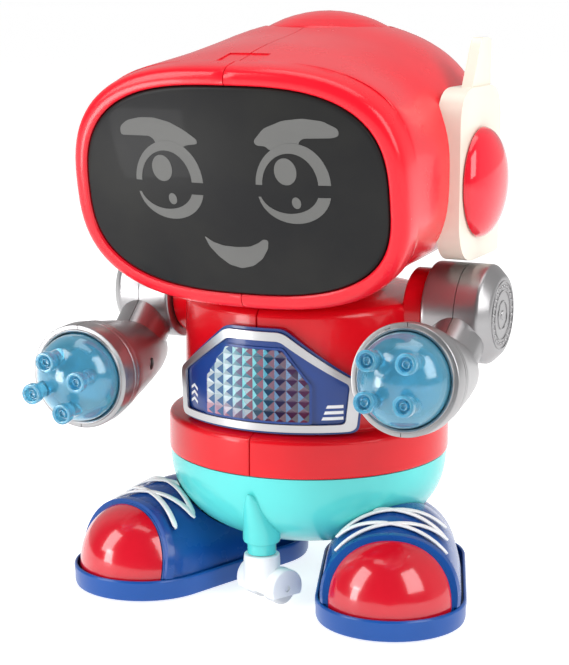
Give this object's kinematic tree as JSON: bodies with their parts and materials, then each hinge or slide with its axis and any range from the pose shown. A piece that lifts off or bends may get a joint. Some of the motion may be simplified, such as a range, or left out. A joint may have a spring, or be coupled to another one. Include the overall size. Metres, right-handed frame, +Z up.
{
  "type": "toy robot",
  "caption": "Wheeled toy robot with a wide dark face panel, ear pads, turning head, swinging arm cannons with clear domes, chest badge, sneaker feet and a front caster.",
  "frame": {"origin": "middle of the robot's footprint on the floor, under the centre of its bounding box", "axes": "+Z up, -Y the way the robot faces, +X the robot's left"},
  "size_m": [0.1478, 0.1294, 0.19],
  "materials": {
    "head_red": "glossy red moulded casing",
    "face_panel": "smoked dark grey, clear gloss",
    "circuit_board": "green solder mask",
    "ear_cream": "cream, half gloss",
    "ear_red": "red, high gloss",
    "torso_red": "glossy red moulded casing",
    "badge_blue": "dark blue, glossy",
    "badge_silver": "vacuum-metallised silver",
    "chest_clear": "clear prismatic",
    "pelvis_turquoise": "turquoise, glossy",
    "black_plastic": "black, matt",
    "battery_cell": "printed metal jacket",
    "screw_steel": "zinc-plated screw",
    "caster_white": "white, half gloss",
    "roller_nylon": "natural nylon",
    "arm_silver": "vacuum-metallised silver, satin",
    "muzzle_blue": "clear blue, high gloss",
    "led_clear": "clear lens",
    "axle_steel": "turned steel",
    "shoe_blue": "royal blue, half gloss",
    "toe_red": "red, high gloss",
    "lace_white": "white raised laces",
    "sole_blue": "royal blue, half gloss",
    "motor_steel": "plated motor can",
    "pinion_steel": "brass pinion",
    "gear_nylon": "natural nylon",
    "wheel_rubber": "black rubber"
  },
  "bodies": {
    "torso": {"torso_shell_left": "torso_red", "torso_shell_right": "torso_red", "badge_plate": "badge_blue", "badge_border": "badge_silver", "chest_lens": "chest_clear", "chest_board": "circuit_board", "pelvis_bowl": "pelvis_turquoise", "battery_box": "black_plastic", "battery_cell_1": "battery_cell", "battery_cell_2": "battery_cell", "battery_cell_3": "battery_cell", "battery_door": "torso_red", "battery_door_screw": "screw_steel", "main_board": "circuit_board", "speaker": "black_plastic", "shoe_upper_left": "shoe_blue", "toe_cap_left": "toe_red", "shoe_laces_left": "lace_white", "shoe_sole_left": "sole_blue", "drive_motor_left": "motor_steel", "drive_frame_left": "gear_nylon", "shoe_upper_right": "shoe_blue", "toe_cap_right": "toe_red", "shoe_laces_right": "lace_white", "shoe_sole_right": "sole_blue", "drive_motor_right": "motor_steel", "drive_frame_right": "gear_nylon"},
    "head": {"head_shell_left": "head_red", "head_shell_right": "head_red", "face_lens": "face_panel", "face_board": "circuit_board", "crown_disc": "head_red", "neck_tube": "head_red", "ear_cover_left": "ear_cream", "ear_cover_right": "ear_cream", "ear_lens_left": "ear_red", "ear_lens_right": "ear_red"},
    "caster": {"caster_hood": "caster_white"},
    "rollers": {"caster_rollers": "roller_nylon"},
    "switch": {"power_switch": "black_plastic"},
    "arm_left": {"arm_shell_outer_left": "arm_silver", "arm_shell_inner_left": "arm_silver", "arm_led_left": "led_clear", "shoulder_axle_left": "axle_steel", "arm_screw_left": "screw_steel"},
    "muzzle_left": {"muzzle_dome_left": "muzzle_blue"},
    "wheel_left": {"drive_wheel_left": "wheel_rubber"},
    "idler_left": {"idler_gear_left": "gear_nylon"},
    "pinion_left": {"motor_pinion_left": "pinion_steel"},
    "arm_right": {"arm_shell_outer_right": "arm_silver", "arm_shell_inner_right": "arm_silver", "arm_led_right": "led_clear", "shoulder_axle_right": "axle_steel", "arm_screw_right": "screw_steel"},
    "muzzle_right": {"muzzle_dome_right": "muzzle_blue"},
    "wheel_right": {"drive_wheel_right": "wheel_rubber"},
    "idler_right": {"idler_gear_right": "gear_nylon"},
    "pinion_right": {"motor_pinion_right": "pinion_steel"}
  },
  "joints": [
    {"name": "head_turn", "type": "hinge", "parent": "torso", "child": "head", "pos_m": [0, 0.012, 0.119], "axis": [0, 0, 1], "range_deg": [-25, 25]},
    {"name": "caster_swivel", "type": "hinge", "parent": "torso", "child": "caster", "pos_m": [0, -0.026, 0.012], "axis": [0, 0, 1], "continuous": true},
    {"name": "roller_spin", "type": "hinge", "parent": "caster", "child": "rollers", "pos_m": [0.00136, -0.02333, 0.0046], "axis": [0.891, -0.454, 0], "continuous": true},
    {"name": "switch_slide", "type": "slide", "parent": "torso", "child": "switch", "axis": [1, 0, 0], "range_m": [0, 0.0044]},
    {"name": "shoulder_left", "type": "hinge", "parent": "torso", "child": "arm_left", "pos_m": [0.0454, 0.012, 0.0942], "axis": [-1, 0, 0], "range_deg": [-36, 3]},
    {"name": "muzzle_spin_left", "type": "hinge", "parent": "arm_left", "child": "muzzle_left", "pos_m": [0.0567, -0.04702, 0.08381], "axis": [0, -0.9903, 0.1392], "continuous": true},
    {"name": "wheel_spin_left", "type": "hinge", "parent": "torso", "child": "wheel_left", "pos_m": [0.03346, 0.00693, 0.0095], "axis": [0.9426, 0.3338, 0], "continuous": true},
    {"name": "idler_spin_left", "type": "hinge", "parent": "torso", "child": "idler_left", "pos_m": [0.0369, -0.00279, 0.014], "axis": [0.9426, 0.3338, 0], "continuous": true},
    {"name": "pinion_spin_left", "type": "hinge", "parent": "torso", "child": "pinion_left", "pos_m": [0.04111, -0.01466, 0.0145], "axis": [0.9426, 0.3338, 0], "continuous": true},
    {"name": "shoulder_right", "type": "hinge", "parent": "torso", "child": "arm_right", "pos_m": [-0.0454, 0.012, 0.0942], "axis": [-1, 0, 0], "range_deg": [-26, 13]},
    {"name": "muzzle_spin_right", "type": "hinge", "parent": "arm_right", "child": "muzzle_right", "pos_m": [-0.0567, -0.04432, 0.07372], "axis": [0, -0.9994, -0.0349], "continuous": true},
    {"name": "wheel_spin_right", "type": "hinge", "parent": "torso", "child": "wheel_right", "pos_m": [-0.03346, 0.00693, 0.0095], "axis": [0.9426, -0.3338, 0], "continuous": true},
    {"name": "idler_spin_right", "type": "hinge", "parent": "torso", "child": "idler_right", "pos_m": [-0.0369, -0.00279, 0.014], "axis": [0.9426, -0.3338, 0], "continuous": true},
    {"name": "pinion_spin_right", "type": "hinge", "parent": "torso", "child": "pinion_right", "pos_m": [-0.04111, -0.01466, 0.0145], "axis": [0.9426, -0.3338, 0], "continuous": true}
  ],
  "couplings": [
    {"joint": "idler_spin_left", "follows": "wheel_spin_left", "ratio": -2.125},
    {"joint": "pinion_spin_left", "follows": "wheel_spin_left", "ratio": 5.3125},
    {"joint": "idler_spin_right", "follows": "wheel_spin_right", "ratio": -2.125},
    {"joint": "pinion_spin_right", "follows": "wheel_spin_right", "ratio": 5.3125}
  ]
}
